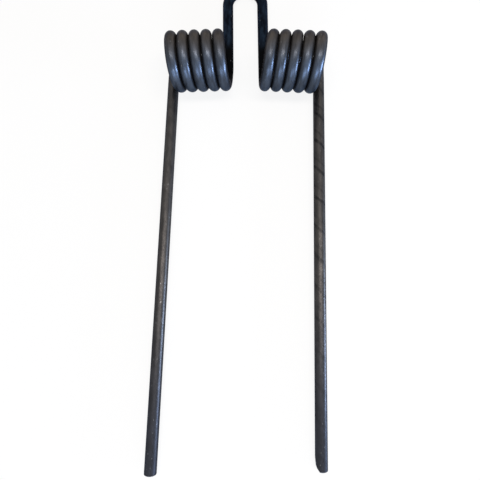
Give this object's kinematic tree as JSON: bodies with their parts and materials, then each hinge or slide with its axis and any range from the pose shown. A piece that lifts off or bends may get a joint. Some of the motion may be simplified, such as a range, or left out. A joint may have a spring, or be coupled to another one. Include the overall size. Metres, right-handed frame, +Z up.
{
  "type": "cultivator spring tine",
  "caption": "Cultivator spring tine bent from round steel wire, with a clamping loop between close-wound coils and long straight legs that comb the soil.",
  "frame": {"origin": "middle of the tine's footprint on the ground that it lies on, its straight lengths and the bottoms of its coils touching z = 0", "axes": "+X across the tine from its left coil to its right coil, +Y along it from the leg tips to the clamping loop, +Z up, to the side that the coils stand out on"},
  "size_m": [0.1448, 0.4408, 0.05],
  "materials": {
    "spring_steel": "satin"
  },
  "bodies": {
    "root": {"spring_tine": "spring_steel"}
  },
  "joints": []
}
